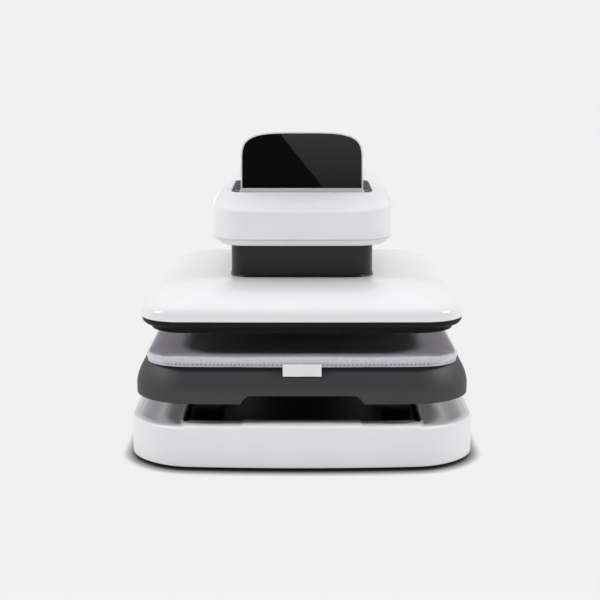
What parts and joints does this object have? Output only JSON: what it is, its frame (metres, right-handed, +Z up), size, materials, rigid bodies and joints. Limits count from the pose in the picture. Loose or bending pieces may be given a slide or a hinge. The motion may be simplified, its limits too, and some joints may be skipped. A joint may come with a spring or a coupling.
{
  "type": "flat heat press",
  "caption": "Flat heat press: white base and arm, a square heated platen lowered by a screw drive onto a padded pull-out drawer, and a folding touch screen on the head.",
  "frame": {"origin": "on the table, under the middle of the base", "axes": "+Z up, the front with the drawer faces -Y, +X to the right seen from the front"},
  "size_m": [0.442, 0.535, 0.4101],
  "materials": {
    "white_abs": "moulded ABS with a fine satin texture",
    "white_gloss_abs": "polished ABS",
    "graphite_abs": "fine-textured moulded plastic",
    "black_nylon": "moulded heat-resistant nylon",
    "black_enamel": "black enamel on cast and folded metal",
    "foot_rubber": "moulded rubber",
    "sheet_steel": "zinc plated steel",
    "bright_steel": "ground steel",
    "inlet_brass": "plated brass",
    "bronze": "machined bearing bronze",
    "coated_aluminium": "cast aluminium with a dark non-stick coat",
    "plain_aluminium": "rolled aluminium plate",
    "silicone_pad": "silicone foam under woven cloth",
    "tag_fabric": "woven satin tape",
    "screen_glass": "black touch glass over a dark display",
    "circuit_board": "solder-masked laminate",
    "mica_board": "pressed mica board",
    "red_switch": "polished plastic"
  },
  "bodies": {
    "chassis": {"base_shell": "white_abs", "base_plate": "sheet_steel", "channel_pan": "black_nylon", "rubber_feet": "foot_rubber", "foot_screws": "bright_steel", "rail_legs": "black_enamel", "slide_outer_rails": "bright_steel", "rail_screws": "bright_steel", "column_frame": "sheet_steel", "column_front_cover": "white_abs", "column_rear_cover": "white_abs", "frame_bolts": "bright_steel", "head_frame": "sheet_steel", "head_lower_shell": "white_abs", "head_upper_shell": "white_abs", "screen_well": "graphite_abs", "screen_hinge_pins": "bright_steel", "guide_rods": "bright_steel", "gearbox_housing": "black_enamel", "drive_motor": "black_enamel", "thrust_bearing": "bright_steel", "power_inlet": "black_nylon", "inlet_pins": "inlet_brass", "switch_bezel": "black_nylon", "power_board": "circuit_board", "board_standoffs": "bright_steel", "limit_switch": "black_nylon"},
    "drawer": {"drawer_tray": "graphite_abs", "lower_platen": "plain_aluminium", "press_pad": "silicone_pad", "pad_tag": "tag_fabric", "drawer_beams": "sheet_steel", "slide_inner_rails": "bright_steel", "tray_screws": "bright_steel"},
    "ball_carriers": {"ball_cages": "bright_steel", "bearing_balls": "bright_steel"},
    "upper_platen": {"platen_cover": "white_gloss_abs", "platen_rim": "black_nylon", "heat_plate": "coated_aluminium", "heating_element": "bright_steel", "insulation_board": "mica_board", "neck_sleeve": "graphite_abs", "ram_plate": "sheet_steel", "platen_posts": "sheet_steel", "guide_bushings": "bronze", "drive_nut": "bronze", "temperature_probe": "bright_steel", "thermal_cutout": "bright_steel", "platen_screws": "bright_steel"},
    "press_screw": {"lead_screw": "bright_steel", "screw_stop_ring": "bright_steel"},
    "screen": {"screen_frame": "white_abs", "screen_glass": "screen_glass", "display_board": "circuit_board"},
    "power_rocker": {"rocker_button": "red_switch"}
  },
  "joints": [
    {"name": "drawer_slide", "type": "slide", "parent": "chassis", "child": "drawer", "axis": [0, -1, 0], "range_m": [0, 0.25]},
    {"name": "cage_slide", "type": "slide", "parent": "chassis", "child": "ball_carriers", "axis": [0, -1, 0], "range_m": [0, 0.125]},
    {"name": "press_slide", "type": "slide", "parent": "chassis", "child": "upper_platen", "axis": [0, 0, -1], "range_m": [0, 0.0277]},
    {"name": "screw_spin", "type": "hinge", "parent": "chassis", "child": "press_screw", "pos_m": [0, -0.0605, 0.25], "axis": [0, 0, 1], "range_deg": [0, 1250]},
    {"name": "screen_tilt", "type": "hinge", "parent": "chassis", "child": "screen", "pos_m": [0, -0.0745, 0.328], "axis": [1, 0, 0], "range_deg": [-76, 0]},
    {"name": "rocker_tilt", "type": "hinge", "parent": "chassis", "child": "power_rocker", "pos_m": [-0.02, 0.256, 0.1005], "axis": [1, 0, 0], "range_deg": [-20, 0]}
  ],
  "couplings": [
    {"joint": "cage_slide", "follows": "drawer_slide", "ratio": 0.5},
    {"joint": "screw_spin", "follows": "press_slide", "rad_per_m": 785.4}
  ]
}
